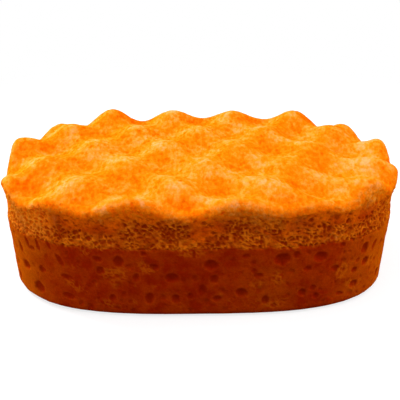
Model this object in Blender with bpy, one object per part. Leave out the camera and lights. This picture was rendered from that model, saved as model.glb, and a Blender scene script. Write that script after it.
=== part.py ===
"""Soap sponge: a foam block with an egg-crate top, its lower part filled with set soap.

Metres, +Z up. The origin is the centre of the flat underside, the long side lies along X,
and the long face that looks towards -Y is the front.
"""

import math
import random

import bmesh
import bpy

# Plan: a rounded oblong. Length and depth are taken at the rim, where the block is widest.
LENGTH = 0.135
DEPTH = 0.086
CORNER_POWER = 3.05
TAPER = 0.022

# Heights above the underside. CRATE_LEVEL is the top's mean height in the middle, and the top
# rises towards +Y by TOP_SLOPE for each metre.
SOAP_HEIGHT = 0.0256
CRATE_LEVEL = 0.0409
TOP_SLOPE = 0.0195
SEAM_GAP = 0.0003

# Egg crate: bumps and pits in staggered rows along the long side. A bump stands at the origin
# given here. Foam is cut while it is squeezed, so the pattern isn't quite even: the pitch is
# divided by 1 + CRATE_FAN * y + CRATE_FLARE * y * y, which widens it towards the front, the rows
# and columns are turned a little, and the columns bend by CRATE_SWAY times the square of Y.
# CRATE_RELIEF is the height of a bump at the rim. The middle loses a share CRATE_CALM of it, and
# CALM_POWER sets how near the rim that loss ends.
CRATE_PITCH = 0.0260
CRATE_ROW = 0.0158
CRATE_RELIEF = 0.0040
CRATE_CALM = 0.40
CALM_POWER = 4.0
COLUMN_TURN = math.radians(0.6)
ROW_TURN = math.radians(-1.85)
CRATE_FAN = 2.95
CRATE_FLARE = -38.0
CRATE_SWAY = -1.95
CRATE_ORIGIN = (-0.0250, 0.0195)

# Edges and wall of the foam.
RIM_ROLL = 0.0031
WALL_DIP = 0.0008
DIP_PLACE = 0.8
SEAM_EDGE = 0.0005

# Edges of the soap-filled base.
BASE_FILLET = 0.0024

# Pores on the front of the base: place along X as a share of half the length, height above the
# underside as a share of SOAP_HEIGHT, width and height in millimetres, lean in degrees.
FRONT_PORES = [
    (-0.875, 0.770, 1.8, 4.4, 18), (-0.661, 0.770, 2.0, 5.0, 28), (-0.637, 0.531, 4.5, 2.1, -8),
    (-0.638, 0.242, 4.6, 2.2, -10), (-0.476, 0.848, 2.9, 2.1, 0), (-0.467, 0.691, 2.6, 2.8, 0),
    (-0.379, 0.832, 4.1, 3.8, 0), (-0.135, 0.598, 4.1, 3.9, 0), (-0.119, 0.281, 2.9, 3.4, 15),
    (-0.052, 0.324, 2.2, 2.5, 0), (0.004, 0.414, 2.5, 4.6, 0), (0.061, 0.578, 2.5, 3.1, 0),
    (0.076, 0.277, 3.0, 2.5, 0), (0.193, 0.363, 4.2, 3.4, -20), (0.204, 0.900, 2.5, 1.8, 0),
    (0.370, 0.836, 5.1, 4.4, 0), (0.439, 0.890, 2.3, 2.4, 0), (0.486, 0.316, 2.8, 2.8, 0),
    (0.499, 0.672, 2.7, 2.1, 0), (0.535, 0.371, 2.1, 2.1, 0), (0.684, 0.200, 3.4, 1.7, -15),
    (0.744, 0.516, 2.3, 2.2, 0), (0.847, 0.790, 1.8, 4.4, -24),
]

# Pores in the rest of its wall, spread round it in staggered rows.
PORE_COLUMNS = 24
PORE_ROWS = 3
PORE_WIDTHS = (0.0022, 0.0044)
PORE_STRETCH = (0.8, 1.25)
PORE_DEPTH = 0.35
PORE_LIFT = 0.2
PORE_SCATTER = 0.3
PORE_MARGIN = 0.0009
PORE_SEED = 11

# Mesh fineness.
CELLS_X = 50
CELLS_Y = 32
ROLL_STEPS = 4
WALL_STEPS = 5
FILLET_STEPS = 3
EDGE_STEPS = 1
PORE_SIDES = 8
PORE_RINGS = 4
SMOOTH_ANGLE = math.radians(35)


def clear_scene():
    for item in list(bpy.data.objects):
        bpy.data.objects.remove(item, do_unlink=True)


def make_material(name, colour, roughness):
    material = bpy.data.materials.new(name)
    material.use_nodes = True
    shader = material.node_tree.nodes["Principled BSDF"]
    shader.inputs["Base Color"].default_value = (*colour, 1.0)
    shader.inputs["Roughness"].default_value = roughness
    shader.inputs["Metallic"].default_value = 0.0
    return material


def plan_point(u, v, inset):
    """Maps the square u, v in -1..1 onto the oblong plan, drawn in by inset."""
    reach = max(abs(u), abs(v))
    if reach == 0.0:
        return 0.0, 0.0
    norm = (abs(u) ** CORNER_POWER + abs(v) ** CORNER_POWER) ** (1.0 / CORNER_POWER)
    share = reach / norm
    return (LENGTH / 2 - inset) * u * share, (DEPTH / 2 - inset) * v * share


def taper_inset(z):
    return TAPER * max(CRATE_LEVEL - z, 0.0)


def crate_height(x, y):
    """Height of the egg-crate surface: staggered bumps and pits."""
    dx = x - CRATE_ORIGIN[0]
    dy = y - CRATE_ORIGIN[1]
    along = dx * math.cos(COLUMN_TURN) + dy * math.sin(COLUMN_TURN)
    along = along * (1 + CRATE_FAN * y + CRATE_FLARE * y * y) + CRATE_SWAY * y * y
    across = dy * math.cos(ROW_TURN) - dx * math.sin(ROW_TURN)
    wave = math.cos(2 * math.pi * along / CRATE_PITCH) * math.cos(math.pi * across / CRATE_ROW)
    edge = abs(2 * x / LENGTH) ** CORNER_POWER + abs(2 * y / DEPTH) ** CORNER_POWER
    edge = min(edge ** (1 / CORNER_POWER), 1.0)
    relief = CRATE_RELIEF * (1 - CRATE_CALM * (1 - edge ** CALM_POWER))
    return CRATE_LEVEL + TOP_SLOPE * y + relief * wave


def grid_border():
    """The square's border as u, v pairs, counter-clockwise from its front left corner."""
    front = [(2 * i / CELLS_X - 1, -1.0) for i in range(CELLS_X)]
    right = [(1.0, 2 * j / CELLS_Y - 1) for j in range(CELLS_Y)]
    back = [(-u, 1.0) for u, _ in front]
    left = [(-1.0, -v) for _, v in right]
    return front + right + back + left


def add_ring(bm, height, inset):
    """A ring of points round the plan. height and inset are functions of the border's u, v."""
    ring = []
    for u, v in grid_border():
        x, y = plan_point(u, v, inset(u, v))
        ring.append(bm.verts.new((x, y, height(u, v))))
    return ring


def join_rings(bm, upper, lower):
    count = len(upper)
    for i in range(count):
        k = (i + 1) % count
        bm.faces.new((upper[i], lower[i], lower[k], upper[k]))


def finish_mesh(name, bm, material):
    bmesh.ops.recalc_face_normals(bm, faces=bm.faces)
    mesh = bpy.data.meshes.new(name)
    bm.to_mesh(mesh)
    bm.free()
    mesh.shade_smooth()
    mesh.set_sharp_from_angle(angle=SMOOTH_ANGLE)
    mesh.materials.append(material)
    item = bpy.data.objects.new(name, mesh)
    bpy.context.scene.collection.objects.link(item)
    return item


def rim_height(u, v):
    return crate_height(*plan_point(u, v, RIM_ROLL))


def foam_profile(u, v):
    """Inset and height of the foam's outside at one border point, from the rim to the seam."""
    rim = rim_height(u, v)
    seam = SOAP_HEIGHT + SEAM_GAP
    points = []
    for step in range(1, ROLL_STEPS + 1):
        angle = math.radians(90 * step / ROLL_STEPS)
        points.append((RIM_ROLL * (1 - math.sin(angle)), rim - RIM_ROLL * (1 - math.cos(angle))))
    wall_top = rim - RIM_ROLL
    wall_foot = seam + SEAM_EDGE
    for step in range(1, WALL_STEPS + 1):
        share = step / WALL_STEPS
        z = wall_top + (wall_foot - wall_top) * share
        dip = WALL_DIP * math.sin(math.pi * share ** DIP_PLACE)
        points.append((taper_inset(z) * share + dip, z))
    for step in range(1, EDGE_STEPS + 1):
        angle = math.radians(90 * step / EDGE_STEPS)
        z = wall_foot - SEAM_EDGE * math.sin(angle)
        points.append((taper_inset(z) + SEAM_EDGE * (1 - math.cos(angle)), z))
    return points


def make_foam_sponge(material):
    bm = bmesh.new()
    grid = {}
    for i in range(CELLS_X + 1):
        for j in range(CELLS_Y + 1):
            u, v = 2 * i / CELLS_X - 1, 2 * j / CELLS_Y - 1
            x, y = plan_point(u, v, RIM_ROLL)
            grid[i, j] = bm.verts.new((x, y, crate_height(x, y)))
    for i in range(CELLS_X):
        for j in range(CELLS_Y):
            bm.faces.new((grid[i, j], grid[i + 1, j], grid[i + 1, j + 1], grid[i, j + 1]))

    rim = [grid[i, 0] for i in range(CELLS_X)]
    rim += [grid[CELLS_X, j] for j in range(CELLS_Y)]
    rim += [grid[i, CELLS_Y] for i in range(CELLS_X, 0, -1)]
    rim += [grid[0, j] for j in range(CELLS_Y, 0, -1)]

    upper = rim
    for k in range(ROLL_STEPS + WALL_STEPS + EDGE_STEPS):
        lower = add_ring(
            bm,
            height=lambda u, v, k=k: foam_profile(u, v)[k][1],
            inset=lambda u, v, k=k: foam_profile(u, v)[k][0],
        )
        join_rings(bm, upper, lower)
        upper = lower
    bm.faces.new(list(reversed(upper)))
    return finish_mesh("foam_sponge", bm, material)


def base_profile():
    """Inset and height of the base's outside, from the soap line down to the underside."""
    points = []
    for step in range(EDGE_STEPS + 1):
        angle = math.radians(90 * step / EDGE_STEPS)
        z = SOAP_HEIGHT - SEAM_EDGE * (1 - math.cos(angle))
        points.append((taper_inset(z) + SEAM_EDGE * (1 - math.sin(angle)), z))
    for step in range(FILLET_STEPS + 1):
        angle = math.radians(90 * step / FILLET_STEPS)
        z = BASE_FILLET * (1 - math.sin(angle))
        points.append((taper_inset(z) + BASE_FILLET * (1 - math.cos(angle)), z))
    return points


def front_point(along_share, height_share):
    """A point on the front of the base's wall, and the wall's direction there."""
    z = height_share * SOAP_HEIGHT
    half_long = LENGTH / 2 - taper_inset(z)
    half_deep = DEPTH / 2 - taper_inset(z)
    x = along_share * half_long
    away_share = (1 - abs(along_share) ** CORNER_POWER) ** (1 / CORNER_POWER)
    slope_x = math.copysign(abs(along_share) ** (CORNER_POWER - 1), x) / half_long
    slope_y = -(away_share ** (CORNER_POWER - 1)) / half_deep
    return (x, -half_deep * away_share, z), math.atan2(slope_y, slope_x)


def wall_point(turn, z):
    """A point on the wall, a share of a turn round the plan, and the wall's direction there."""
    border = grid_border()
    place = (turn % 1.0) * len(border)
    first = int(place)
    share = place - first
    inset = taper_inset(z)
    ax, ay = plan_point(*border[first % len(border)], inset)
    bx, by = plan_point(*border[(first + 1) % len(border)], inset)
    return (ax + (bx - ax) * share, ay + (by - ay) * share, z), math.atan2(ax - bx, by - ay)


def pore_sites():
    """Place, outward direction, half width, half height and lean of each pore of the base."""
    sites = []
    for along_share, height_share, width, height, lean in FRONT_PORES:
        place, out = front_point(along_share, height_share)
        sites.append((place, out, width / 2000, height / 2000, math.radians(lean)))

    rng = random.Random(PORE_SEED)
    widest = PORE_WIDTHS[1] * PORE_STRETCH[1]
    low = BASE_FILLET + widest / 2 + PORE_MARGIN
    high = SOAP_HEIGHT - SEAM_EDGE - widest / 2 - PORE_MARGIN
    row_step = (high - low) / (PORE_ROWS - 1)
    for row in range(PORE_ROWS):
        for column in range(PORE_COLUMNS):
            turn = (column + 0.5 * (row % 2) + PORE_SCATTER * rng.uniform(-1, 1)) / PORE_COLUMNS
            lift = PORE_SCATTER * row_step * rng.uniform(-1, 1)
            z = min(max(low + row * row_step + lift, low), high)
            width = rng.uniform(*PORE_WIDTHS)
            stretch = rng.uniform(*PORE_STRETCH)
            place, out = wall_point(turn, z)
            half_wide, half_high = width * stretch / 2, width / stretch / 2
            reach = max(half_wide, half_high) + PORE_MARGIN
            if all(math.dist(place, site[0]) > reach + max(site[2:4]) for site in sites):
                sites.append((place, out, half_wide, half_high, 0.0))
    return sites


def make_pore_cutters():
    """One mesh of small bowls that stand half in the wall, poles along the wall's normal."""
    bm = bmesh.new()
    for place, out, half_wide, half_high, lean in pore_sites():
        depth = 2 * min(half_wide, half_high) * PORE_DEPTH
        cos_out, sin_out = math.cos(out), math.sin(out)
        cos_lean, sin_lean = math.cos(lean), math.sin(lean)

        def bowl_point(wide, high, away):
            away += depth * PORE_LIFT
            side = wide * cos_lean - high * sin_lean
            return (
                place[0] + away * cos_out - side * sin_out,
                place[1] + away * sin_out + side * cos_out,
                place[2] + wide * sin_lean + high * cos_lean,
            )

        rings = []
        for r in range(1, PORE_RINGS):
            tilt = math.pi * r / PORE_RINGS
            ring = []
            for s in range(PORE_SIDES):
                spin = 2 * math.pi * (s + 0.5) / PORE_SIDES
                wide = half_wide * math.sin(tilt) * math.cos(spin)
                high = half_high * math.sin(tilt) * math.sin(spin)
                ring.append(bm.verts.new(bowl_point(wide, high, depth * math.cos(tilt))))
            rings.append(ring)
        outer_pole = bm.verts.new(bowl_point(0.0, 0.0, depth))
        inner_pole = bm.verts.new(bowl_point(0.0, 0.0, -depth))
        for near, far in zip(rings, rings[1:]):
            join_rings(bm, near, far)
        for s in range(PORE_SIDES):
            k = (s + 1) % PORE_SIDES
            bm.faces.new((outer_pole, rings[0][s], rings[0][k]))
            bm.faces.new((inner_pole, rings[-1][k], rings[-1][s]))
    bmesh.ops.recalc_face_normals(bm, faces=bm.faces)
    mesh = bpy.data.meshes.new("pore_cutters")
    bm.to_mesh(mesh)
    bm.free()
    cutters = bpy.data.objects.new("pore_cutters", mesh)
    bpy.context.scene.collection.objects.link(cutters)
    cutters.hide_render = True
    cutters.display_type = "WIRE"
    return cutters


def make_soap_base(material):
    bm = bmesh.new()
    rings = []
    for inset, z in base_profile():
        rings.append(add_ring(bm, lambda u, v, z=z: z, lambda u, v, inset=inset: inset))
    for upper, lower in zip(rings, rings[1:]):
        join_rings(bm, upper, lower)
    bm.faces.new(rings[0])
    bm.faces.new(list(reversed(rings[-1])))
    base = finish_mesh("soap_base", bm, material)
    pores = base.modifiers.new("pores", "BOOLEAN")
    pores.operation = "DIFFERENCE"
    pores.solver = "EXACT"
    pores.object = make_pore_cutters()
    return base


clear_scene()
make_soap_base(make_material("soap_filled_foam", (0.30, 0.035, 0.004), 0.45))
make_foam_sponge(make_material("orange_foam", (0.95, 0.26, 0.012), 0.9))
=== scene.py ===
"""Soap sponge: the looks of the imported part.

The dry foam and the soap-filled base are rebuilt as fine meshes with open cells and pores, on
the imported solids' sizes and with their pores, and get materials made from nodes.
"""

import itertools
import math
import random

import bpy
import numpy as np
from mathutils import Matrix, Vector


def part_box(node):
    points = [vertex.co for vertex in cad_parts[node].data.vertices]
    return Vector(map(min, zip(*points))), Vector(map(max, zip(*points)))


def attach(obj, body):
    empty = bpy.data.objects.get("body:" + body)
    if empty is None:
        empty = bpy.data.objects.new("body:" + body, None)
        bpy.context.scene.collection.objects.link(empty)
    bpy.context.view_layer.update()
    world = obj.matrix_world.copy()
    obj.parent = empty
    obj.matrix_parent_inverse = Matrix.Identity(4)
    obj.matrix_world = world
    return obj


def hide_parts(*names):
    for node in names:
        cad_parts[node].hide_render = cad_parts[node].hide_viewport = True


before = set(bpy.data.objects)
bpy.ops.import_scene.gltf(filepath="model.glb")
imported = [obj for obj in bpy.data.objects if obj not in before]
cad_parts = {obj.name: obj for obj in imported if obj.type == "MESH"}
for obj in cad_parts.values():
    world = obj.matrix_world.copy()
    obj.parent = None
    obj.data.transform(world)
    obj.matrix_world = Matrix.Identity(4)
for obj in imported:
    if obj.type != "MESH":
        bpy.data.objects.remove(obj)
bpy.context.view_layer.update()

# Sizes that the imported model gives.
foam_low, foam_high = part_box("foam_sponge")
base_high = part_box("soap_base")[1]
LENGTH = foam_high.x - foam_low.x
DEPTH = foam_high.y - foam_low.y
SOAP_HEIGHT = base_high.z

# Sizes that the part's source also has.
CORNER_POWER = 3.05
TAPER = 0.022
CRATE_LEVEL = 0.0409
TOP_SLOPE = 0.0195
CRATE_PITCH = 0.0260
CRATE_ROW = 0.0158
CRATE_RELIEF = 0.0040
CALM_POWER = 4.0
COLUMN_TURN = math.radians(0.6)
ROW_TURN = math.radians(-1.85)
CRATE_FAN = 2.95
CRATE_FLARE = -38.0
CRATE_SWAY = -1.95
CRATE_ORIGIN = (-0.0250, 0.0195)
RIM_ROLL = 0.0031
WALL_DIP = 0.0008
DIP_PLACE = 0.8
SEAM_EDGE = 0.0005
BASE_FILLET = 0.0024

# The share of their height that the bumps lose towards the middle of the top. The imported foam
# has 0.40, so its inner bumps are up to 0.6 mm higher.
CRATE_CALM = 0.54

# Mesh fineness. The underside has half as many points each way as the top.
CELLS_X, CELLS_Y = 264, 168
ROLL_RINGS = 10
WALL_RINGS = 38
BASE_RINGS = 50
FILLET_RINGS = 6
UNDER_STEP = 0.0006

# The foam's open cells by kind: size, seed, the distance from its border over which a cell gets
# to its full depth, in cells, and the range of its random number over which it is ever more open.
OPEN_CELLS = {
    "large": (0.00155, 3, (0.02, 0.30), (0.80, 1.00)),
    "small": (0.00100, 4, (0.06, 0.40), (0.45, 0.75)),
    "top": (0.00140, 5, (0.05, 0.50), (0.20, 0.90)),
}
SMALL_CELL_SHARE = 0.7
TOP_CELL_DRAW = (1.0, 0.6, 1.0)
WALL_CELL_DEPTH = 0.00045
TOP_CELL_DEPTH = 0.00016
ROLL_CELL_DEPTH = 0.00030
SOAP_CELL_DEPTH = 0.00005

# Low on the wall nearly all large cells are open and show as a net, up to NET_TOP. The net rises
# by a share of the rim's waves and fades over NET_FADE, so the closed foam above it, darker as
# painted shade under the rim, reaches lower under the rim's valleys. It lowers the random number
# from which a cell is open by NET_OPENING.
NET_TOP = 0.0322
NET_RISE = 0.5
NET_FADE = (0.0016, -0.0016)
NET_OPENING = 0.85

# Smooth noises: strength, size of the lumps, seed. The strength is in metres for a place and
# otherwise a plain share.
NOISES = {
    "uneven": (0.7, 0.0075, 1),
    "uneven_fine": (0.5, 0.0028, 2),
    "soap_line": (0.0009, 0.0045, 7),
    "soap_line_fine": (0.0006, 0.0016, 8),
    "net": (0.0036, 0.0070, 9),
    "net_fine": (0.0012, 0.0025, 10),
    "missing_soap": (1.0, 0.0090, 12),
    "bare_edge": (0.8, 0.0030, 13),
    "warp_x": (0.0006, 0.0022, 14),
    "warp_y": (0.0006, 0.0022, 15),
    "warp_z": (0.0006, 0.0022, 16),
    "top_edge": (0.12, 0.0045, 18),
    "top_edge_fine": (0.20, 0.0015, 17),
    "rim_light": (0.0012, 0.0050, 20),
    "rim_light_fine": (0.0011, 0.0013, 19),
    "pore_edge": (0.20, 0.0014, 31),
}

# The surface sinks by UNEVENNESS for each unit that the uneven noises lie below UNEVEN_FROM.
UNEVENNESS = 0.00030
UNEVEN_FROM = 0.6

# Ranges over which the masks go from 0 to 1: the upward share of the normal for the top and the
# underside, the height over the soap line for the dry foam, and the height in bumps for the
# crests, which are painted paler on one side, towards the back left where the key light falls, as a
# painted highlight.
TOP_RANGE = (0.05, 0.75)
UNDER_RANGE = (-0.6, -0.95)
DRY_RANGE = (-0.0007, 0.0007)
LIT_CREST_RANGE = (-0.7, 1.0)
LIGHT_SIDE_SHIFT = (0.0035, -0.0025)

# The wall is painted paler towards the rim between these heights, as painted light on the rim's
# roll, and by a share in the patches.
RIM_LIGHT = (0.0330, 0.0395)
RIM_LIGHT_SHARE = 0.5

# Where soap is missing at random. It starts behind the front, over this range of Y, because the
# front has the patches listed below. The last two values set how both kinds end.
MISSING_RANGE = (0.35, 0.75)
MISSING_SHARE = 0.8
MISSING_BEHIND = (-0.030, -0.015)
BARE_RANGE = (0.20, 1.10)
BARE_BIAS = 0.1

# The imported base's pores on its front: place along X as a share of half the length, height as a
# share of SOAP_HEIGHT, width and height in millimetres, lean in degrees.
FRONT_PORES = [
    (-0.875, 0.770, 1.8, 4.4, 18), (-0.661, 0.770, 2.0, 5.0, 28), (-0.637, 0.531, 4.5, 2.1, -8),
    (-0.638, 0.242, 4.6, 2.2, -10), (-0.476, 0.848, 2.9, 2.1, 0), (-0.467, 0.691, 2.6, 2.8, 0),
    (-0.379, 0.832, 4.1, 3.8, 0), (-0.135, 0.598, 4.1, 3.9, 0), (-0.119, 0.281, 2.9, 3.4, 15),
    (-0.052, 0.324, 2.2, 2.5, 0), (0.004, 0.414, 2.5, 4.6, 0), (0.061, 0.578, 2.5, 3.1, 0),
    (0.076, 0.277, 3.0, 2.5, 0), (0.193, 0.363, 4.2, 3.4, -20), (0.204, 0.900, 2.5, 1.8, 0),
    (0.370, 0.836, 5.1, 4.4, 0), (0.439, 0.890, 2.3, 2.4, 0), (0.486, 0.316, 2.8, 2.8, 0),
    (0.499, 0.672, 2.7, 2.1, 0), (0.535, 0.371, 2.1, 2.1, 0), (0.684, 0.200, 3.4, 1.7, -15),
    (0.744, 0.516, 2.3, 2.2, 0), (0.847, 0.790, 1.8, 4.4, -24),
]

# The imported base's pores in the rest of its wall.
PORE_COLUMNS = 24
PORE_ROWS = 3
PORE_WIDTHS = (0.0022, 0.0044)
PORE_STRETCH = (0.8, 1.25)
PORE_SCATTER = 0.3
PORE_MARGIN = 0.0009
PORE_SEED = 11
PORE_BORDER = (50, 32)

# Smaller pores that only the looks have: some on the front, most of them near the soap line, in
# the terms of FRONT_PORES, and random ones on the wall and the underside. A random half width is
# the first number plus up to the second.
SEAM_PORES = [
    (-0.826, 0.900, 1.5, 4.6, 16), (-0.768, 0.915, 1.5, 4.4, 14), (-0.707, 0.960, 1.4, 3.8, 12),
    (-0.425, 1.015, 3.4, 1.8, 20), (-0.262, 0.945, 1.8, 1.7, 0), (-0.034, 0.945, 1.4, 3.2, 0),
    (0.660, 0.945, 2.1, 1.8, 0), (0.245, 0.683, 1.9, 1.9, 0),
]
SMALL_PORE_SEED = 23
PORE_GAP = 0.0003
WALL_PORE_TRIES = 1100
WALL_PORE_LOW = 0.0022
WALL_PORE_OVER_LINE = 0.0004
WALL_PORE_HALF = (0.0005, 0.0008)
WALL_PORE_POWER = 1.5
WALL_PORE_STRETCH = (0.78, 1.28)
WALL_PORE_LEAN = 60
WALL_PORE_ROOM = 1.1
WALL_PORE_DARKNESS = (0.2, 0.7)
UNDER_PORE_TRIES = 700
UNDER_PORE_INSET = 0.006
UNDER_PORE_HALF = (0.0008, 0.0011)
UNDER_PORE_POWER = 2
UNDER_PORE_STRETCH = (1.1, 0.9)
UNDER_PORE_ROOM = 1.2
UNDER_PORE_DARKNESS = 0.8

# How deep the pores are as a share of their smaller half width, and their form, with distances
# from the pore's centre in half widths.
SHOWN_PORE_DEPTH = 0.5
SMALL_PORE_DEPTH = 0.35
PORE_PROFILE = 0.75
PORE_EDGE = (1.12, 0.78)
LIP_PLACE, LIP_WIDTH = 1.2, 0.16
PORE_REACH = 1.6
PORE_THICKNESS = 0.002

# Patches on the front where the soap has left the cell walls bare, in the terms of FRONT_PORES.
BARE_PATCHES = [
    (-0.400, 0.600, 8.0, 6.0, 0), (-0.260, 0.720, 5.0, 4.0, 0), (0.320, 0.550, 9.0, 5.5, 10),
    (0.670, 0.600, 5.0, 7.0, 0), (0.765, 0.300, 7.0, 5.0, 0), (-0.410, 0.170, 7.0, 3.5, 0),
    (0.340, 0.160, 7.0, 3.5, 0), (-0.600, 0.400, 7.0, 6.0, 0), (-0.480, 0.940, 12.0, 4.0, 0),
    (-0.050, 0.960, 12.0, 3.0, 0), (0.840, 0.560, 6.0, 8.0, 0), (-0.860, 0.800, 9.0, 6.0, 0),
]

# Patches on the front where the open cells reach higher up the foam's wall, in the same terms,
# and those of them with pale cell walls, painted light at the left end where the left lamp falls.
OPEN_PATCHES = [
    (-0.100, 1.300, 9.0, 6.0, 0), (0.200, 1.300, 12.0, 7.0, 0), (0.330, 1.280, 8.0, 6.0, 0),
    (0.900, 1.300, 14.0, 12.0, 0),
]
LIT_SPECKLE_PATCHES = [(-0.930, 1.380, 16.0, 14.0, 0), (-0.790, 1.380, 15.0, 13.0, 0)]
OPEN_PATCH_RANGE = (0.35, 0.85)

# Patches on the front where the painted light under the rim reaches lower, in the same terms.
RIM_LIGHT_PATCHES = [
    (0.320, 1.430, 17.0, 7.0, 0), (-0.850, 1.430, 14.0, 8.0, 0), (0.900, 1.430, 10.0, 8.0, 0),
]

# Patches on the front where the soap is a little paler, in the same terms.
PALE_PATCHES = [
    (0.330, 0.420, 14.0, 16.0, 0), (0.740, 0.420, 12.0, 16.0, 0), (-0.860, 0.350, 10.0, 14.0, 0),
]

# A patch's strength is PATCH_LEVEL at its centre, less PATCH_FALL for each half width further
# out, kept between 0 and 1. Past PATCH_REACH it is 0.
PATCH_LEVEL, PATCH_FALL = 1.3, 0.8
PATCH_REACH = 0.018

# Factors and shifts that turn a lattice cell's place into numbers that look random.
LATTICE_SHIFT = 4096
LATTICE_FACTORS = (73856093, 19349663, 83492791)
SEED_FACTOR = 2654435
MIX_STEPS = ((15, 2246822519), (13, 3266489917))
LAST_SHIFT = 16
LATTICE_MASK = 0xFFFFFFFF
NUMBER_FACTOR = 7.0

# Further than any cell's centre, in cells, and less than any length that counts.
FAR = 9.0
TINY = 1e-12

MILLIMETRE = 0.001

# Fineness of the materials' textures, in lumps or dots per metre. Dots, grain and mottle are
# drawn out along Y, as foam's cells are along the way that it rose.
TEXTURE_DRAW = (1.0, 0.55, 1.0)
DOT_SCALE = 620.0
GRAIN_SCALE = 760.0
MOTTLE_SCALE = 260.0
BLOTCH_SCALE = 130.0
FINE_SCALE = 1700.0

# The part of each texture that is spread over 0 to 1, or over the last two numbers.
NOISE_MIDDLE = (0.35, 0.65)
BLOTCH_MIDDLE = (0.38, 0.62)
DOT_RANGE = (0.45, 0.15)
DOTTED_RANGE = (0.42, 0.60)
HOLLOW_RANGE = (0.45, 0.75)
SOAP_MOTTLE_RANGE = (0.40, 0.70, 0.0, 0.5)
FAINT_RANGE = (0.55, 0.40, 0.10, 0.55)
SHADE_RANGE = (0.30, 0.70, 0.84, 1.0)

# What makes the dry foam's top a deeper orange, by weight. The last two are painted shade: inside
# the cells, and in the pits and on the slopes away from the crests' painted highlight. Blotches
# make it paler or deeper.
DOT_WEIGHT = 0.275
GRAIN_WEIGHT = 0.33
MOTTLE_WEIGHT = 0.1375
CELL_WEIGHT = 0.165
SHADE_SIDE_WEIGHT = 0.36
BLOTCH_WEIGHTS = (-0.15, 0.17)

# Colours of the dry foam: from pale to deep on the top, the palest mostly on the crests' painted
# highlight, and on the wall the struts of the net, the closed foam, darker as painted shade under the
# rim, and the inside of its cells, which is painted shade. In a pair the darker one comes first.
TOP_COLOURS = [
    (0.00, (1.0, 0.360, 0.1050)),
    (0.25, (1.0, 0.300, 0.0300)),
    (0.50, (1.0, 0.235, 0.0045)),
    (0.75, (1.0, 0.185, 0.0010)),
    (1.00, (0.97, 0.130, 0.0002)),
]
NET_COLOURS = ((0.54, 0.073, 0.001), (0.88, 0.190, 0.005))
LIT_SPECKLE_COLOUR = (1.0, 0.30, 0.030)
CLOSED_SHADE_COLOURS = ((0.55, 0.050, 0.0003), (0.86, 0.125, 0.0008))
HOLLOW_SHADE_COLOUR = (0.36, 0.026, 0.0003)
HOLLOW_GRAIN = 0.25
RIM_LIGHT_PALE = 0.95
LIT_SPECKLE_PALE = 0.8

# Colours of the soap-filled foam, and how strongly each lies over the ones before it. The ends'
# colour is painted light, the lips' a painted highlight round the pores, and the pores' painted
# shade in their hollows.
SOAP_COLOURS = ((0.35, 0.0145, 0.0003), (0.435, 0.032, 0.0004))
MOTTLE_COLOUR = (0.45, 0.043, 0.0004)
PALE_COLOUR, PALE_SHARE = (0.54, 0.078, 0.0007), 0.5
FAINT_COLOUR = (0.33, 0.0105, 0.0002)
LIT_END_COLOUR, LIT_END_SHARE = (0.63, 0.112, 0.0014), 0.75
BARE_COLOUR, BARE_SHARE = (0.74, 0.15, 0.002), 0.5
LIP_HIGHLIGHT_COLOUR, LIP_HIGHLIGHT_SHARE = (0.54, 0.068, 0.0014), 0.20
PORE_SHADE_COLOUR, PORE_SHADE_SHARE = (0.31, 0.010, 0.0001), 0.78

# The base is painted paler towards its ends, as painted light where the side lamps fall, over this
# range of X, which blotches shift by the sway below.
LIT_END_RANGE = (0.048, 0.072)
LIT_END_SWAY = 0.016

# Surface of the soap-filled foam and of the dry foam, and light inside both.
ROUGHNESS = (0.48, 0.95)
BUMP_STRENGTH = (0.12, 0.35)
BUMP_DEPTH = 0.0005
BUMP_DOTS, BUMP_GRAIN = -0.6, 0.5
SUBSURFACE = 0.25
SUBSURFACE_RADIUS = (1.0, 0.5, 0.2)
SUBSURFACE_DEPTH = 0.0025

# The floor, which is white further out and keeps the sponge's shadow near it, and the sky.
FLOOR_REACH = 6.0
FLOOR_DROP = 0.0002
FLOOR_FADE = (0.12, 0.30)
FLOOR_GLOW = (0.72, 1.0)
FLOOR_GREY = 0.36
FLOOR_BOUNCE = 0.32
SKY_LIGHT = 0.27

# Square softboxes: name, place, size and power. They face the point LIGHT_AIM over the origin.
LIGHTS = [
    ("key", (-0.53, 0.35, 0.55), 0.35, 6.9),
    ("overhead", (0.05, -0.22, 0.86), 0.8, 4.7),
    ("left", (-0.6, -0.1, 0.15), 0.3, 1.0),
    ("right", (0.6, -0.05, 0.20), 0.3, 1.8),
    ("front", (0.0, -0.8, 0.5), 0.5, 0.3),
]
LIGHT_AIM = 0.02

CAMERA_PLACE = (-0.00297, -0.1878, 0.1149)
CAMERA_DOWN = 0.4624
CAMERA_TURN = -0.0176
CAMERA_LENS = 50.6
CAMERA_SENSOR = 36.0
CAMERA_NEAR = 0.01


def ease(share):
    return share * share * (3.0 - 2.0 * share)


def smooth_step(low, high, value):
    return ease(np.clip((value - low) / (high - low), 0.0, 1.0))


def lattice(cells, seed):
    """Three repeatable numbers from 0 to 1 for each whole-numbered lattice cell."""
    cells = (cells + LATTICE_SHIFT).astype(np.uint64)
    n = np.full(len(cells), seed * SEED_FACTOR, dtype=np.uint64)
    for axis, factor in enumerate(LATTICE_FACTORS):
        n ^= cells[:, axis] * np.uint64(factor)
    numbers = []
    for _ in range(3):
        for shift, factor in MIX_STEPS:
            n = ((n ^ (n >> np.uint64(shift))) * np.uint64(factor)) & np.uint64(LATTICE_MASK)
        n = n ^ (n >> np.uint64(LAST_SHIFT))
        numbers.append(n.astype(float) / 2 ** 32)
    return np.stack(numbers, axis=1)


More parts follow.
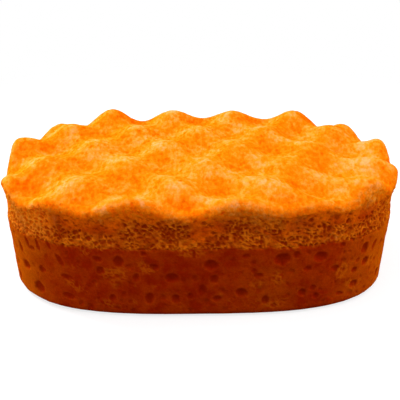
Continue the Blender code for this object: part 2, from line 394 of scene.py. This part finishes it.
def foam_cells(points, size, seed):
    """How far each point is from its cell's border, in cells, and a number of that cell."""
    place = points / size
    home = np.floor(place).astype(np.int64)
    nearest = np.full(len(points), FAR)
    second = nearest.copy()
    number = np.zeros(len(points))
    for step in itertools.product((-1, 0, 1), repeat=3):
        cell = home + np.array(step)
        jitter = lattice(cell, seed)
        gap = np.linalg.norm(cell + jitter - place, axis=1)
        closer = gap < nearest
        second = np.where(closer, nearest, np.minimum(second, gap))
        number = np.where(closer, (jitter.sum(axis=1) * NUMBER_FACTOR) % 1.0, number)
        nearest = np.where(closer, gap, nearest)
    return second - nearest, number


def open_cells(points, kind, opening=0.0):
    """How deep each point is in its cell and how open that cell is, both from 0 to 1."""
    size, seed, sink, open_from = OPEN_CELLS[kind]
    border, number = foam_cells(points, size, seed)
    low, high = open_from
    return smooth_step(*sink, border), smooth_step(low - opening, high - opening, number)


def soft_noise(points, name):
    """One of the smooth noises, from minus its strength to its strength."""
    strength, size, seed = NOISES[name]
    place = points / size
    home = np.floor(place).astype(np.int64)
    share = ease(place - home)
    total = np.zeros(len(points))
    for corner in itertools.product((0, 1), repeat=3):
        weight = np.prod(np.where(np.array(corner) == 1, share, 1.0 - share), axis=1)
        total += weight * lattice(home + np.array(corner), seed)[:, 0]
    return strength * (total * 2.0 - 1.0)


def oblong_norm(u, v):
    """1 on the edge of the oblong plan and less inside it, for u and v in -1..1."""
    return (np.abs(u) ** CORNER_POWER + np.abs(v) ** CORNER_POWER) ** (1.0 / CORNER_POWER)


def plan(u, v, inset):
    """Maps the square u, v in -1..1 onto the oblong plan, drawn in by inset."""
    share = np.maximum(np.abs(u), np.abs(v)) / np.maximum(oblong_norm(u, v), TINY)
    return (LENGTH / 2 - inset) * u * share, (DEPTH / 2 - inset) * v * share


def taper_inset(z):
    return TAPER * np.maximum(CRATE_LEVEL - z, 0.0)


def crate_height(x, y):
    dx = x - CRATE_ORIGIN[0]
    dy = y - CRATE_ORIGIN[1]
    along = dx * math.cos(COLUMN_TURN) + dy * math.sin(COLUMN_TURN)
    along = along * (1 + CRATE_FAN * y + CRATE_FLARE * y * y) + CRATE_SWAY * y * y
    across = dy * math.cos(ROW_TURN) - dx * math.sin(ROW_TURN)
    wave = np.cos(2 * math.pi * along / CRATE_PITCH) * np.cos(math.pi * across / CRATE_ROW)
    edge = np.minimum(oblong_norm(2 * x / LENGTH, 2 * y / DEPTH), 1.0)
    relief = CRATE_RELIEF * (1 - CRATE_CALM * (1 - edge ** CALM_POWER))
    return CRATE_LEVEL + TOP_SLOPE * y + relief * wave


def square_border(cells_x, cells_y):
    """The square's border as u and v, counter-clockwise from its front left corner."""
    across = 2 * np.arange(cells_x) / cells_x - 1
    upward = 2 * np.arange(cells_y) / cells_y - 1
    u = np.concatenate([across, np.ones(cells_y), -across, -np.ones(cells_y)])
    v = np.concatenate([-np.ones(cells_x), upward, np.ones(cells_x), -upward])
    return u, v


def grid_rows(cells_x, cells_y):
    """Indices of a grid of points: its quads, which face up, and its border in border order."""
    index = np.arange((cells_x + 1) * (cells_y + 1)).reshape(cells_x + 1, cells_y + 1)
    quads = np.stack([index[:-1, :-1], index[1:, :-1], index[1:, 1:], index[:-1, 1:]], axis=-1)
    edge = np.concatenate([index[:-1, 0], index[-1, :-1], index[:0:-1, -1], index[0, :0:-1]])
    return quads.reshape(-1, 4), edge


def grid_points(cells_x, cells_y, inset):
    u, v = np.meshgrid(
        2 * np.arange(cells_x + 1) / cells_x - 1,
        2 * np.arange(cells_y + 1) / cells_y - 1,
        indexing="ij",
    )
    return plan(u.ravel(), v.ravel(), inset)


def join_rings(upper, lower):
    after = np.roll(np.arange(len(upper)), -1)
    return np.stack([upper, lower, lower[after], upper[after]], axis=1)


def surface_normals(points, quads):
    corners = points[quads]
    faces = np.cross(corners[:, 2] - corners[:, 0], corners[:, 3] - corners[:, 1])
    normals = np.zeros_like(points)
    for k in range(4):
        np.add.at(normals, quads[:, k], faces)
    return normals / np.maximum(np.linalg.norm(normals, axis=1, keepdims=True), TINY)


def foam_shell():
    """Points of the foam's top and wall, its quads, and its lowest ring."""
    x, y = grid_points(CELLS_X, CELLS_Y, RIM_ROLL)
    points = [np.stack([x, y, crate_height(x, y)], axis=1)]
    top, upper = grid_rows(CELLS_X, CELLS_Y)
    quads = [top]
    count = len(x)
    u, v = square_border(CELLS_X, CELLS_Y)
    rim = crate_height(*plan(u, v, RIM_ROLL))
    wall_top = rim - RIM_ROLL
    rings = []
    for step in range(1, ROLL_RINGS + 1):
        angle = math.pi / 2 * step / ROLL_RINGS
        inset = RIM_ROLL * (1 - math.sin(angle))
        rings.append((inset, rim - RIM_ROLL * (1 - math.cos(angle))))
    for step in range(1, WALL_RINGS + 1):
        share = step / WALL_RINGS
        z = wall_top + (SOAP_HEIGHT - wall_top) * share
        dip = WALL_DIP * math.sin(math.pi * share ** DIP_PLACE)
        rings.append((taper_inset(z) * share + dip, z))
    for inset, z in rings:
        points.append(np.stack([*plan(u, v, inset), z], axis=1))
        lower = count + np.arange(len(u))
        quads.append(join_rings(upper, lower))
        upper = lower
        count += len(u)
    return np.concatenate(points), np.concatenate(quads), upper


def base_shell():
    """Points of the base's wall and underside, its quads, and its highest ring."""
    u, v = square_border(CELLS_X, CELLS_Y)
    rings = []
    for step in range(BASE_RINGS):
        z = SOAP_HEIGHT + (BASE_FILLET - SOAP_HEIGHT) * step / BASE_RINGS
        rings.append((taper_inset(z), z))
    for step in range(FILLET_RINGS + 1):
        angle = math.pi / 2 * step / FILLET_RINGS
        z = BASE_FILLET * (1 - math.sin(angle))
        rings.append((taper_inset(z) + BASE_FILLET * (1 - math.cos(angle)), z))
    points, quads = [], []
    count = 0
    upper = None
    for inset, z in rings:
        points.append(np.stack([*plan(u, v, inset), np.full(len(u), z)], axis=1))
        lower = count + np.arange(len(u))
        if upper is not None:
            quads.append(join_rings(upper, lower))
        upper = lower
        count += len(u)
    x, y = grid_points(CELLS_X // 2, CELLS_Y // 2, rings[-1][0] + UNDER_STEP)
    under, edge = grid_rows(CELLS_X // 2, CELLS_Y // 2)
    points.append(np.stack([x, y, np.zeros_like(x)], axis=1))
    quads.append(count + under[:, ::-1])
    # Each step along the underside's edge meets two steps of the ring outside it.
    edge = count + edge
    after = np.roll(edge, -1)
    first, middle, last = upper[0::2], upper[1::2], np.roll(upper[0::2], -1)
    for a, b, c in ((first, edge, middle), (middle, edge, after), (middle, after, last)):
        quads.append(np.stack([a, b, c, c], axis=1))
    return np.concatenate(points), np.concatenate(quads), np.arange(len(u))


def wall_frame(x, y, lean):
    """Directions out of, along and up the wall at a point of it, turned by lean."""
    out = np.array([
        math.copysign(abs(x / (LENGTH / 2)) ** (CORNER_POWER - 1) / LENGTH, x),
        math.copysign(abs(y / (DEPTH / 2)) ** (CORNER_POWER - 1) / DEPTH, y),
        0.0,
    ])
    out /= np.linalg.norm(out)
    along = np.array([-out[1], out[0], 0.0])
    up = np.array([0.0, 0.0, 1.0])
    turn = math.radians(lean)
    leaning_along = along * math.cos(turn) + up * math.sin(turn)
    leaning_up = up * math.cos(turn) - along * math.sin(turn)
    return out, leaning_along, leaning_up


def front_spot(along_share, height_share, width, height, lean):
    """A spot on the front: its centre, three directions, half width and half height."""
    z = height_share * SOAP_HEIGHT
    inset = taper_inset(z)
    x = along_share * (LENGTH / 2 - inset)
    y = -(DEPTH / 2 - inset) * (1 - abs(along_share) ** CORNER_POWER) ** (1 / CORNER_POWER)
    half_wide, half_high = width / 2 * MILLIMETRE, height / 2 * MILLIMETRE
    return ((x, y, z), *wall_frame(x, y, lean), half_wide, half_high)


def packed_pores():
    """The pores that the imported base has, from the same numbers as in the part's source."""
    pores = [front_spot(*row) for row in FRONT_PORES]
    rng = random.Random(PORE_SEED)
    widest = PORE_WIDTHS[1] * PORE_STRETCH[1]
    low = BASE_FILLET + widest / 2 + PORE_MARGIN
    high = SOAP_HEIGHT - SEAM_EDGE - widest / 2 - PORE_MARGIN
    row_step = (high - low) / (PORE_ROWS - 1)
    border_u, border_v = square_border(*PORE_BORDER)
    for row in range(PORE_ROWS):
        for column in range(PORE_COLUMNS):
            turn = (column + 0.5 * (row % 2) + PORE_SCATTER * rng.uniform(-1, 1)) / PORE_COLUMNS
            lift = PORE_SCATTER * row_step * rng.uniform(-1, 1)
            z = min(max(low + row * row_step + lift, low), high)
            width = rng.uniform(*PORE_WIDTHS)
            stretch = rng.uniform(*PORE_STRETCH)
            spot = (turn % 1.0) * len(border_u)
            near = int(spot) % len(border_u)
            x, y = plan(border_u, border_v, taper_inset(z))
            x = float(x[near] + (x[(near + 1) % len(x)] - x[near]) * (spot - int(spot)))
            y = float(y[near] + (y[(near + 1) % len(y)] - y[near]) * (spot - int(spot)))
            halves = (width * stretch / 2, width / stretch / 2)
            reach = max(halves) + PORE_MARGIN
            if all(math.dist((x, y, z), pore[0]) > reach + max(pore[4:6]) for pore in pores):
                pores.append(((x, y, z), *wall_frame(x, y, 0.0), *halves))
    return pores


def has_room(centre, radius, pores):
    """Whether a pore there keeps PORE_GAP from every other one."""
    return all(math.dist(centre, pore[0]) >= radius + max(pore[4:6]) + PORE_GAP for pore in pores)


def add_wall_pores(pores, rng):
    u, v = square_border(CELLS_X, CELLS_Y)
    x, y = plan(u, v, 0.0)
    steps = np.hypot(np.roll(x, -1) - x, np.roll(y, -1) - y)
    way_round = np.concatenate([[0.0], np.cumsum(steps)])
    least, extra = WALL_PORE_HALF
    for _ in range(WALL_PORE_TRIES):
        way = rng.uniform(0, way_round[-1])
        k = int(np.searchsorted(way_round, way, side="right")) - 1
        z = rng.uniform(WALL_PORE_LOW, SOAP_HEIGHT + WALL_PORE_OVER_LINE)
        half = least + extra * rng.random() ** WALL_PORE_POWER
        stretch = rng.uniform(*WALL_PORE_STRETCH)
        lean = rng.uniform(-WALL_PORE_LEAN, WALL_PORE_LEAN)
        px, py = plan(u[k], v[k], taper_inset(z))
        centre = (float(px), float(py), z)
        if has_room(centre, half * WALL_PORE_ROOM, pores):
            halves = (half * stretch, half / stretch)
            darkness = rng.uniform(*WALL_PORE_DARKNESS)
            depth = SMALL_PORE_DEPTH * half
            pores.append((centre, *wall_frame(px, py, lean), *halves, depth, darkness))


def add_underside_pores(pores, rng):
    down = np.array([0.0, 0.0, -1.0])
    least, extra = UNDER_PORE_HALF
    for _ in range(UNDER_PORE_TRIES):
        u, v = np.float64(rng.uniform(-1, 1)), np.float64(rng.uniform(-1, 1))
        px, py = plan(u, v, UNDER_PORE_INSET)
        half = least + extra * rng.random() ** UNDER_PORE_POWER
        centre = (float(px), float(py), 0.0)
        if has_room(centre, half * UNDER_PORE_ROOM, pores):
            turn = rng.uniform(0, math.pi)
            along = np.array([math.cos(turn), math.sin(turn), 0.0])
            up = np.array([-math.sin(turn), math.cos(turn), 0.0])
            halves = [half * stretch for stretch in UNDER_PORE_STRETCH]
            depth = SMALL_PORE_DEPTH * half
            pores.append((centre, down, along, up, *halves, depth, UNDER_PORE_DARKNESS))


def make_pores():
    """Every pore: centre, three directions, half width, half height, depth and darkness."""
    shapes = packed_pores() + [front_spot(*row) for row in SEAM_PORES]
    pores = [(*shape, SHOWN_PORE_DEPTH * min(shape[4:6]), 1.0) for shape in shapes]
    rng = random.Random(SMALL_PORE_SEED)
    add_wall_pores(pores, rng)
    add_underside_pores(pores, rng)
    return pores


def pore_dents(points, pores):
    """Depth of the pores at each point, how far it is inside a pore, for painted shade, and how near
    its lip, for a painted highlight.
    """
    depth = np.zeros(len(points))
    inside = np.zeros(len(points))
    lip_highlight = np.zeros(len(points))
    wobble = 1.0 + soft_noise(points, "pore_edge")
    for centre, out, along, up, half_wide, half_high, deepest, darkness in pores:
        offset = points - np.array(centre)
        reach = PORE_REACH * max(half_wide, half_high)
        near = np.flatnonzero((offset ** 2).sum(axis=1) < reach ** 2)
        near = near[np.abs(offset[near] @ out) < PORE_THICKNESS]
        offset = offset[near]
        span = np.hypot(offset @ along / half_wide, offset @ up / half_high) * wobble[near]
        dent = deepest * np.clip(1 - span ** 2, 0, 1) ** PORE_PROFILE
        depth[near] = np.maximum(depth[near], dent)
        inside[near] = np.maximum(inside[near], darkness * smooth_step(*PORE_EDGE, span))
        ring = np.exp(-((span - LIP_PLACE) / LIP_WIDTH) ** 2)
        lip_highlight[near] = np.maximum(lip_highlight[near], darkness * ring)
    return depth, inside, lip_highlight * (1 - inside)


def patches(points, rows):
    """How far each point is inside a patch of the front, from 0 to 1."""
    inside = np.zeros(len(points))
    for row in rows:
        centre, _, along, up, half_wide, half_high = front_spot(*row)
        offset = points - np.array(centre)
        span = np.hypot(offset @ along / half_wide, offset @ up / half_high)
        near = np.linalg.norm(offset, axis=1) < PATCH_REACH
        inside = np.maximum(inside, np.clip(PATCH_LEVEL - PATCH_FALL * span, 0, 1) * near)
    return inside


def bareness(points):
    """How much of the soap is missing at each point, from 0 to 1."""
    missing = MISSING_SHARE * smooth_step(*MISSING_RANGE, soft_noise(points, "missing_soap"))
    missing *= smooth_step(*MISSING_BEHIND, points[:, 1])
    bare = np.maximum(missing, patches(points, BARE_PATCHES))
    return smooth_step(*BARE_RANGE, bare + soft_noise(points, "bare_edge") - BARE_BIAS)


def lit_crest_mask(points):
    """How high the foam is a little to the front right of each point: 0 in a pit, 1 on a crest. It
    paints the crests' back left side paler, a painted highlight where the key light falls.
    """
    height = crate_height(points[:, 0] + LIGHT_SIDE_SHIFT[0], points[:, 1] + LIGHT_SIDE_SHIFT[1])
    wave = height - CRATE_LEVEL - TOP_SLOPE * points[:, 1]
    return smooth_step(*LIT_CREST_RANGE, wave / CRATE_RELIEF)


def net_mask(points, lit_speckles):
    """Where the foam's cells are open and show as a net, from 0 to 1."""
    rise = crate_height(points[:, 0], points[:, 1]) - CRATE_LEVEL
    # the closed foam's painted shade reaches lower under the rim's valleys
    closed_from = NET_TOP + NET_RISE * rise
    closed_from += soft_noise(points, "net") + soft_noise(points, "net_fine")
    net = smooth_step(*NET_FADE, points[:, 2] - closed_from)
    opened = np.maximum(lit_speckles, patches(points, OPEN_PATCHES))
    return np.maximum(net, smooth_step(*OPEN_PATCH_RANGE, opened))


def rim_light_mask(points):
    """Where the wall is painted paler towards the rim, painted light on its roll, from 0 to 1."""
    sway = soft_noise(points, "rim_light_fine") + soft_noise(points, "rim_light")
    rim_light = smooth_step(*RIM_LIGHT, points[:, 2] + sway)
    lower = patches(points + sway[:, None], RIM_LIGHT_PATCHES)
    return np.maximum(rim_light, RIM_LIGHT_SHARE * lower)


def dress_surface(points, normals, pores):
    """Moves the points in as open-cell foam, and returns masks for the materials."""
    ragged = soft_noise(points, "top_edge_fine") + soft_noise(points, "top_edge")
    top = smooth_step(*TOP_RANGE, normals[:, 2] + ragged)
    soaked_to = SOAP_HEIGHT + soft_noise(points, "soap_line")
    soaked_to += soft_noise(points, "soap_line_fine")
    dry = smooth_step(*DRY_RANGE, points[:, 2] - soaked_to)
    lit_speckles = patches(points, LIT_SPECKLE_PATCHES)
    net = net_mask(points, lit_speckles)

    warp = [soft_noise(points, name) for name in ("warp_x", "warp_y", "warp_z")]
    warped = points + np.stack(warp, axis=1)
    wide, opened = open_cells(warped, "large", NET_OPENING * net)
    large = wide * opened
    small = np.prod(open_cells(warped, "small"), axis=0)
    broad = np.prod(open_cells(warped * TOP_CELL_DRAW, "top"), axis=0)
    cell = np.maximum(large, SMALL_CELL_SHARE * small)
    cell += (broad - cell) * top

    pore_depth, pore, lip_highlight = pore_dents(points, pores)
    dry_depth = WALL_CELL_DEPTH + (TOP_CELL_DEPTH - WALL_CELL_DEPTH) * top
    # Halfway between wall and top this adds the whole of ROLL_CELL_DEPTH.
    dry_depth += 4 * ROLL_CELL_DEPTH * top * (1 - top)
    cell_depth = SOAP_CELL_DEPTH + (dry_depth - SOAP_CELL_DEPTH) * dry
    # The underside stays flat to rest on, apart from its pores.
    under = smooth_step(*UNDER_RANGE, normals[:, 2])
    depth = cell * cell_depth * (1 - under) * (1 - pore) + pore_depth
    uneven = soft_noise(points, "uneven") + soft_noise(points, "uneven_fine")
    depth += UNEVENNESS * np.maximum(0.0, UNEVEN_FROM - uneven) * (1 - under)
    masks = {
        "cell": cell,
        "net": net,
        "top": top,
        "dry": dry,
        "bare": bareness(points) * (1 - wide),
        "wide": wide,
        "pore": pore,
        "lip_highlight": lip_highlight,
        # painted highlight on the crests' back left side, where the key light falls
        "lit_crest": lit_crest_mask(points),
        "lit_speckles": lit_speckles,
        "rim_light": rim_light_mask(points),
        "pale": patches(points, PALE_PATCHES),
    }
    return points - normals * depth[:, None], masks


def make_piece(name, shell, pores, cap_up):
    """One closed body: the dressed shell, closed over its open ring by a flat fan."""
    points, quads, ring = shell
    moved, masks = dress_surface(points, surface_normals(points, quads), pores)
    centre = len(moved)
    middle = np.array([[0.0, 0.0, moved[ring, 2].mean()]])
    moved = np.concatenate([moved, middle])
    fan = np.stack([ring, np.roll(ring, -1), np.full(len(ring), centre)], axis=1)
    if not cap_up:
        fan = fan[:, ::-1]
    faces = [face[:3] if face[2] == face[3] else face for face in quads.tolist()]
    mesh = bpy.data.meshes.new(name)
    mesh.from_pydata(moved.tolist(), [], faces + fan.tolist())
    mesh.shade_smooth()
    for mask, values in masks.items():
        layer = mesh.attributes.new(mask, "FLOAT", "POINT")
        layer.data.foreach_set("value", np.append(values, 0.0).astype(np.float32))
    mesh.validate()
    item = bpy.data.objects.new(name, mesh)
    bpy.context.scene.collection.objects.link(item)
    return item


def add_node(tree, kind, inputs=None, **settings):
    made = tree.nodes.new(kind)
    for name, value in settings.items():
        setattr(made, name, value)
    for name, value in (inputs or {}).items():
        if isinstance(value, bpy.types.NodeSocket):
            tree.links.new(value, made.inputs[name])
        else:
            made.inputs[name].default_value = value
    return made


def mask_of(tree, name):
    return add_node(tree, "ShaderNodeAttribute", attribute_name=name).outputs["Fac"]


def calculate(tree, operation, *values, clamp=False):
    inputs = dict(enumerate(values))
    return add_node(tree, "ShaderNodeMath", inputs, operation=operation, use_clamp=clamp).outputs[0]


def blend_colours(tree, share, first, second):
    made = add_node(tree, "ShaderNodeMix", data_type="RGBA")
    for index, value in ((0, share), (6, first), (7, second)):
        if isinstance(value, bpy.types.NodeSocket):
            tree.links.new(value, made.inputs[index])
        else:
            made.inputs[index].default_value = value if index == 0 else (*value, 1.0)
    return made.outputs[2]


def spread(tree, value, low, high, to_low=0.0, to_high=1.0):
    return add_node(
        tree, "ShaderNodeMapRange",
        {0: value, 1: low, 2: high, 3: to_low, 4: to_high},
        interpolation_type="SMOOTHSTEP",
    ).outputs[0]


def between(tree, share, ends):
    """A value on the straight way from the first end to the second."""
    return add_node(tree, "ShaderNodeMapRange", {0: share, 3: ends[0], 4: ends[1]}).outputs[0]


def noise_texture(tree, place, scale, detail=2.0):
    return add_node(
        tree, "ShaderNodeTexNoise", {"Vector": place, "Scale": scale, "Detail": detail}
    ).outputs["Fac"]


def colour_ramp(tree, share, stops):
    made = add_node(tree, "ShaderNodeValToRGB", {0: share})
    elements = made.color_ramp.elements
    while len(elements) < len(stops):
        elements.new(0.5)
    for element, (position, colour) in zip(elements, stops):
        element.position = position
        element.color = (*colour, 1.0)
    return made.outputs[0]


def top_colour(tree, dots, grain, mottle, blotch):
    """The foam's top: paler on the crests' back left side, a painted highlight, and deeper orange in
    the pits and inside the cells, painted shade.
    """
    top = mask_of(tree, "top")
    lit_crest = calculate(tree, "MULTIPLY", mask_of(tree, "lit_crest"), top)
    deeper = calculate(tree, "MULTIPLY", dots, DOT_WEIGHT)
    for part, weight in (
        (spread(tree, grain, *NOISE_MIDDLE), GRAIN_WEIGHT),
        (spread(tree, mottle, *NOISE_MIDDLE), MOTTLE_WEIGHT),
        (mask_of(tree, "cell"), CELL_WEIGHT),
        # painted shade in the pits and on the slopes facing front right
        (calculate(tree, "SUBTRACT", 1.0, lit_crest), SHADE_SIDE_WEIGHT),
    ):
        deeper = calculate(tree, "MULTIPLY_ADD", part, weight, deeper)
    blotches = spread(tree, blotch, *BLOTCH_MIDDLE, *BLOTCH_WEIGHTS)
    deeper = calculate(tree, "ADD", blotches, deeper, clamp=True)
    return colour_ramp(tree, deeper, TOP_COLOURS)


def wall_colour(tree, grain, mottle, blotch):
    """The foam's wall: the struts of the net, the closed foam, darker as painted shade under the rim,
    and painted shade inside its cells.
    """
    struts = blend_colours(tree, spread(tree, mottle, *NOISE_MIDDLE), *NET_COLOURS)
    # painted light on the cell walls in the left end's patches
    struts = blend_colours(tree, mask_of(tree, "lit_speckles"), struts, LIT_SPECKLE_COLOUR)
    closed_shade = blend_colours(tree, spread(tree, blotch, *BLOTCH_MIDDLE), *CLOSED_SHADE_COLOURS)
    ridges = blend_colours(tree, mask_of(tree, "net"), closed_shade, struts)
    rough = spread(tree, grain, *HOLLOW_RANGE)
    cell = mask_of(tree, "cell")
    hollow_shade = calculate(tree, "MULTIPLY_ADD", rough, HOLLOW_GRAIN, cell, clamp=True)
    # painted shade inside the wall's open cells
    return blend_colours(tree, hollow_shade, ridges, HOLLOW_SHADE_COLOUR)


def foam_colour(tree, dots, grain, mottle, blotch):
    """The dry foam, whose wall takes on the top's colour towards the rim, painted light on its roll,
    and in the left end's speckled patches, painted light there.
    """
    pale = calculate(tree, "MULTIPLY", mask_of(tree, "lit_speckles"), LIT_SPECKLE_PALE)
    # painted light on the rim's roll
    rim_light = calculate(tree, "MULTIPLY", mask_of(tree, "rim_light"), RIM_LIGHT_PALE)
    share = calculate(tree, "MAXIMUM", mask_of(tree, "top"), calculate(tree, "MAXIMUM", rim_light, pale))
    wall = wall_colour(tree, grain, mottle, blotch)
    return blend_colours(tree, share, wall, top_colour(tree, dots, grain, mottle, blotch))


def soap_colour(tree, place, mottle, blotch):
    """Dark red-brown soap, paler at the ends as painted light and where the cell walls are bare, with
    a painted highlight round each pore and painted shade inside it.
    """
    along = add_node(tree, "ShaderNodeSeparateXYZ", {0: place}).outputs["X"]
    side = calculate(tree, "ABSOLUTE", along)
    ends = spread(tree, calculate(tree, "MULTIPLY_ADD", blotch, LIT_END_SWAY, side), *LIT_END_RANGE)
    faint = calculate(
        tree, "MULTIPLY", mask_of(tree, "wide"), spread(tree, mottle, *FAINT_RANGE)
    )
    soap = blend_colours(tree, spread(tree, blotch, *NOISE_MIDDLE), *SOAP_COLOURS)
    for share, colour in (
        (spread(tree, mottle, *SOAP_MOTTLE_RANGE), MOTTLE_COLOUR),
        (calculate(tree, "MULTIPLY", mask_of(tree, "pale"), PALE_SHARE), PALE_COLOUR),
        (faint, FAINT_COLOUR),
        # painted light towards the base's ends, where the side lamps fall
        (calculate(tree, "MULTIPLY", ends, LIT_END_SHARE), LIT_END_COLOUR),
        (calculate(tree, "MULTIPLY", mask_of(tree, "bare"), BARE_SHARE), BARE_COLOUR),
        # painted highlight round the pores' lips
        (calculate(tree, "MULTIPLY", mask_of(tree, "lip_highlight"), LIP_HIGHLIGHT_SHARE), LIP_HIGHLIGHT_COLOUR),
        # painted shade inside the pores
        (calculate(tree, "MULTIPLY", mask_of(tree, "pore"), PORE_SHADE_SHARE), PORE_SHADE_COLOUR),
    ):
        soap = blend_colours(tree, share, soap, colour)
    return soap


def sponge_material(name):
    """Foam that goes over into soap-filled foam where the mask called dry falls to 0."""
    material = bpy.data.materials.new(name)
    material.use_nodes = True
    tree = material.node_tree
    shader = tree.nodes["Principled BSDF"]

    place = add_node(tree, "ShaderNodeTexCoord").outputs["Object"]
    drawn = add_node(
        tree, "ShaderNodeVectorMath", {0: place, 1: TEXTURE_DRAW}, operation="MULTIPLY"
    ).outputs[0]
    dots = add_node(
        tree, "ShaderNodeTexVoronoi", {"Vector": drawn, "Scale": DOT_SCALE}, feature="F1"
    ).outputs["Distance"]
    grain = noise_texture(tree, drawn, GRAIN_SCALE)
    mottle = noise_texture(tree, drawn, MOTTLE_SCALE)
    blotch = noise_texture(tree, place, BLOTCH_SCALE)
    fine = noise_texture(tree, place, FINE_SCALE, 1.0)
    dots = calculate(
        tree, "MULTIPLY", spread(tree, dots, *DOT_RANGE), spread(tree, mottle, *DOTTED_RANGE)
    )

    dry = mask_of(tree, "dry")
    soap = soap_colour(tree, place, mottle, blotch)
    colour = blend_colours(tree, dry, soap, foam_colour(tree, dots, grain, mottle, blotch))
    grained = add_node(tree, "ShaderNodeVectorMath", {0: colour}, operation="SCALE")
    tree.links.new(spread(tree, fine, *SHADE_RANGE), grained.inputs["Scale"])
    tree.links.new(grained.outputs[0], shader.inputs["Base Color"])

    tree.links.new(between(tree, dry, ROUGHNESS), shader.inputs["Roughness"])
    shader.inputs["Specular IOR Level"].default_value = 0.0
    relief = calculate(tree, "MULTIPLY", grain, BUMP_GRAIN)
    relief = calculate(tree, "MULTIPLY_ADD", dots, BUMP_DOTS, relief)
    strength = between(tree, dry, BUMP_STRENGTH)
    bump = add_node(
        tree, "ShaderNodeBump", {"Height": relief, "Distance": BUMP_DEPTH, "Strength": strength}
    )
    tree.links.new(bump.outputs["Normal"], shader.inputs["Normal"])
    shader.inputs["Subsurface Weight"].default_value = SUBSURFACE
    shader.inputs["Subsurface Radius"].default_value = SUBSURFACE_RADIUS
    shader.inputs["Subsurface Scale"].default_value = SUBSURFACE_DEPTH
    return material


def seen_directly(tree):
    """1 for rays that show a thing as it looks: from the camera, a mirror or through glass."""
    path = add_node(tree, "ShaderNodeLightPath").outputs
    seen = calculate(tree, "MAXIMUM", path["Is Camera Ray"], path["Is Glossy Ray"])
    return calculate(tree, "MAXIMUM", seen, path["Is Transmission Ray"])


def make_floor():
    mesh = bpy.data.meshes.new("floor")
    signs = [(-1, -1), (1, -1), (1, 1), (-1, 1)]
    corners = [(x * FLOOR_REACH, y * FLOOR_REACH, -FLOOR_DROP) for x, y in signs]
    mesh.from_pydata(corners, [], [(0, 1, 2, 3)])
    floor = bpy.data.objects.new("floor", mesh)
    bpy.context.scene.collection.objects.link(floor)
    material = bpy.data.materials.new("floor")
    material.use_nodes = True
    tree = material.node_tree
    tree.nodes.clear()
    place = add_node(tree, "ShaderNodeTexCoord").outputs["Object"]
    away = add_node(tree, "ShaderNodeVectorMath", {0: place}, operation="LENGTH").outputs["Value"]
    glow = add_node(tree, "ShaderNodeEmission", {"Color": (1, 1, 1, 1)})
    tree.links.new(spread(tree, away, *FLOOR_FADE, *FLOOR_GLOW), glow.inputs["Strength"])
    lit = add_node(tree, "ShaderNodeBsdfDiffuse")
    far = spread(tree, away, *FLOOR_FADE)
    tree.links.new(blend_colours(tree, far, (FLOOR_GREY,) * 3, (0, 0, 0)), lit.inputs["Color"])
    shown = add_node(tree, "ShaderNodeAddShader", {0: glow.outputs[0], 1: lit.outputs[0]})
    plain = add_node(tree, "ShaderNodeBsdfDiffuse", {"Color": (*(FLOOR_BOUNCE,) * 3, 1)})
    both = add_node(
        tree, "ShaderNodeMixShader",
        {0: seen_directly(tree), 1: plain.outputs[0], 2: shown.outputs[0]},
    )
    output = add_node(tree, "ShaderNodeOutputMaterial")
    tree.links.new(both.outputs[0], output.inputs["Surface"])
    mesh.materials.append(material)


def make_world():
    world = bpy.data.worlds.new("studio")
    bpy.context.scene.world = world
    world.use_nodes = True
    tree = world.node_tree
    sky = tree.nodes["Background"]
    colour = blend_colours(tree, seen_directly(tree), (SKY_LIGHT,) * 3, (1, 1, 1))
    tree.links.new(colour, sky.inputs["Color"])
    sky.inputs["Strength"].default_value = 1.0


def area_light(name, place, size, power):
    """A square softbox that faces the object."""
    data = bpy.data.lights.new(name, "AREA")
    data.size = size
    data.energy = power
    light = bpy.data.objects.new(name, data)
    light.location = place
    direction = -light.location
    direction.z += LIGHT_AIM
    light.rotation_euler = direction.to_track_quat("-Z", "Y").to_euler()
    bpy.context.scene.collection.objects.link(light)


def make_camera():
    data = bpy.data.cameras.new("camera")
    data.sensor_width = CAMERA_SENSOR
    data.lens = CAMERA_LENS
    data.clip_start = CAMERA_NEAR
    camera = bpy.data.objects.new("camera", data)
    camera.location = CAMERA_PLACE
    camera.rotation_euler = (math.pi / 2 - CAMERA_DOWN, 0.0, CAMERA_TURN)
    bpy.context.scene.collection.objects.link(camera)
    bpy.context.scene.camera = camera


make_camera()
all_pores = make_pores()

foam = make_piece("foam", foam_shell(), all_pores, cap_up=False)
foam.data.materials.append(sponge_material("open_cell_foam"))
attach(foam, "root")
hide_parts("foam_sponge")

base = make_piece("soap_filled_base", base_shell(), all_pores, cap_up=True)
base.data.materials.append(sponge_material("soap_in_foam"))
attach(base, "root")
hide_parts("soap_base")

make_floor()
make_world()
for row in LIGHTS:
    area_light(*row)

bpy.context.scene.view_settings.view_transform = "Standard"
